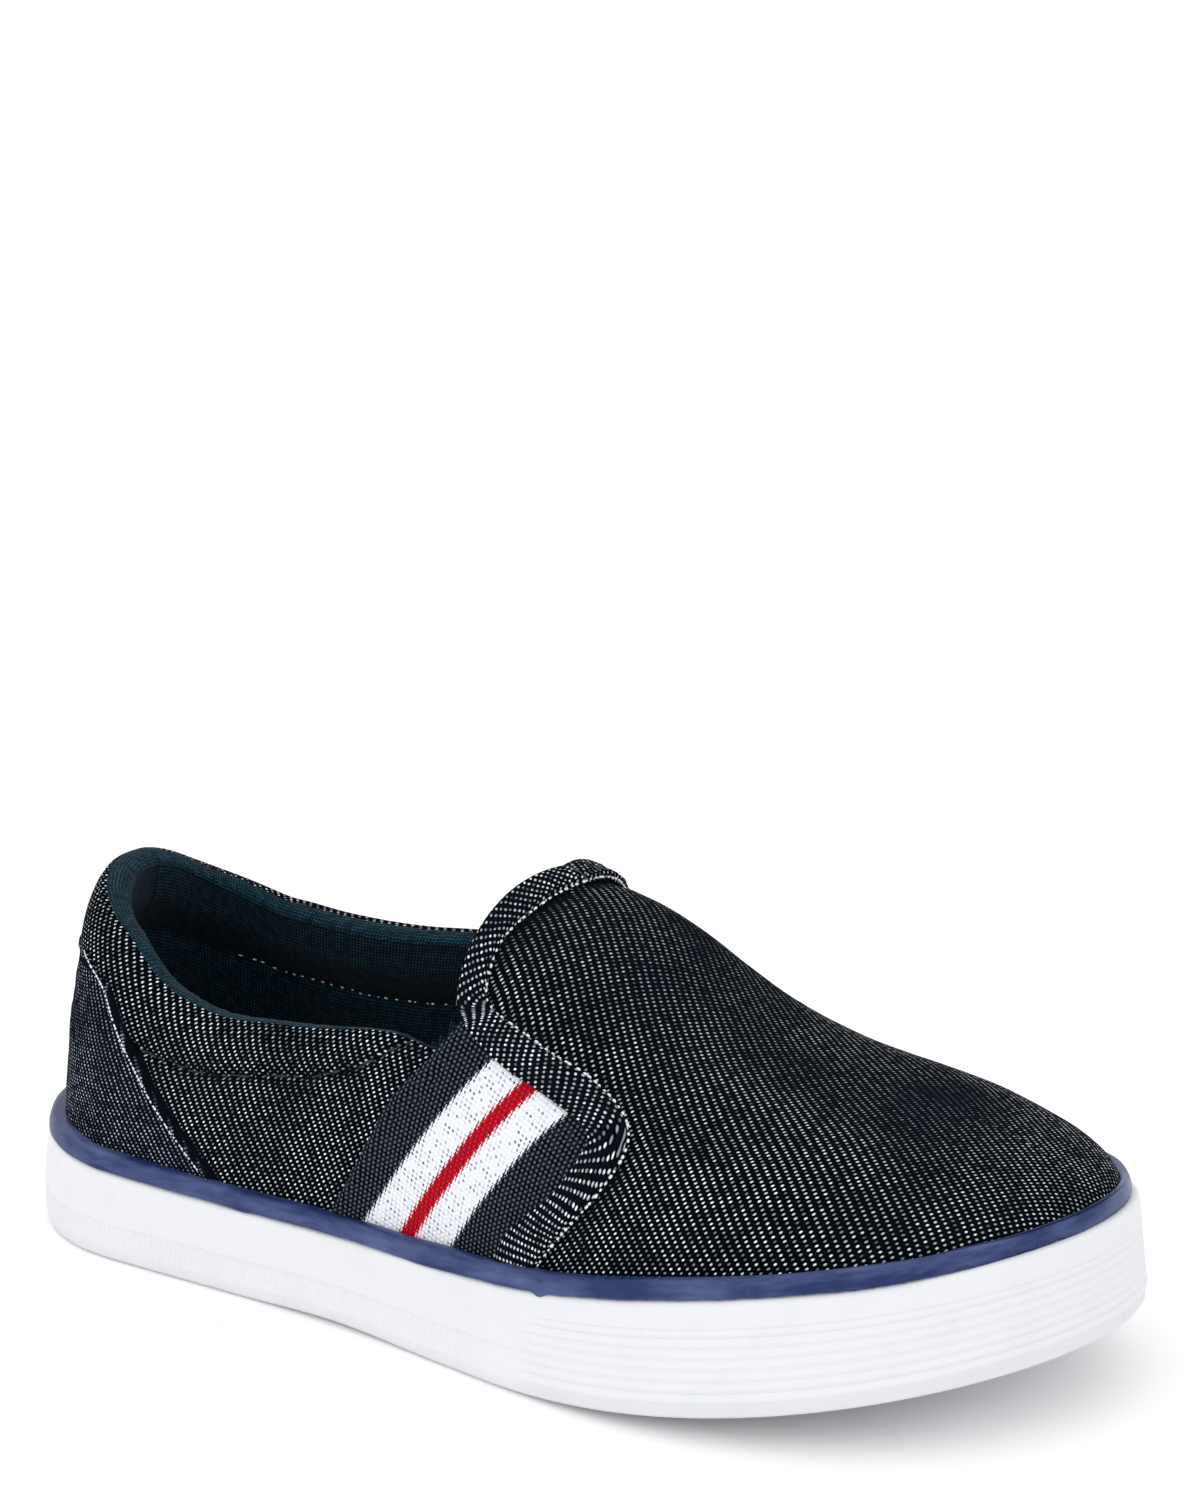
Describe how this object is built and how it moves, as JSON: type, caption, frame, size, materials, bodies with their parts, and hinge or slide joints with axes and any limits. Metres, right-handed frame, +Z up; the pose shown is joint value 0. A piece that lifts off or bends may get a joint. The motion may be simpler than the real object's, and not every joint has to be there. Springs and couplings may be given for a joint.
{
  "type": "slip-on sneaker",
  "caption": "Low child's slip-on shoe: denim upper, padded collar, striped elastic side gores, navy foxing line on a white rubber cupsole.",
  "frame": {"origin": "on the floor below the middle of the shoe's length and width", "axes": "+X from heel to toe, +Y towards the inner side of the foot, +Z up"},
  "size_m": [0.18, 0.0809, 0.0649],
  "materials": {
    "white_rubber": "moulded matt white rubber with fine ribs",
    "navy_rubber": "satin navy rubber strip",
    "lining_canvas": "plain-woven dark teal canvas",
    "denim": "near-black navy denim twill with white weft specks",
    "dark_denim": "the same denim, turned so the specks are finer",
    "elastic_webbing": "ribbed elastic tape in navy, white and red stripes"
  },
  "bodies": {
    "root": {"cupsole": "white_rubber", "foxing_stripe": "navy_rubber", "insole": "lining_canvas", "upper": "denim", "gore_lateral": "elastic_webbing", "gore_medial": "elastic_webbing", "throat_binding": "denim", "heel_counter": "dark_denim"}
  },
  "joints": []
}
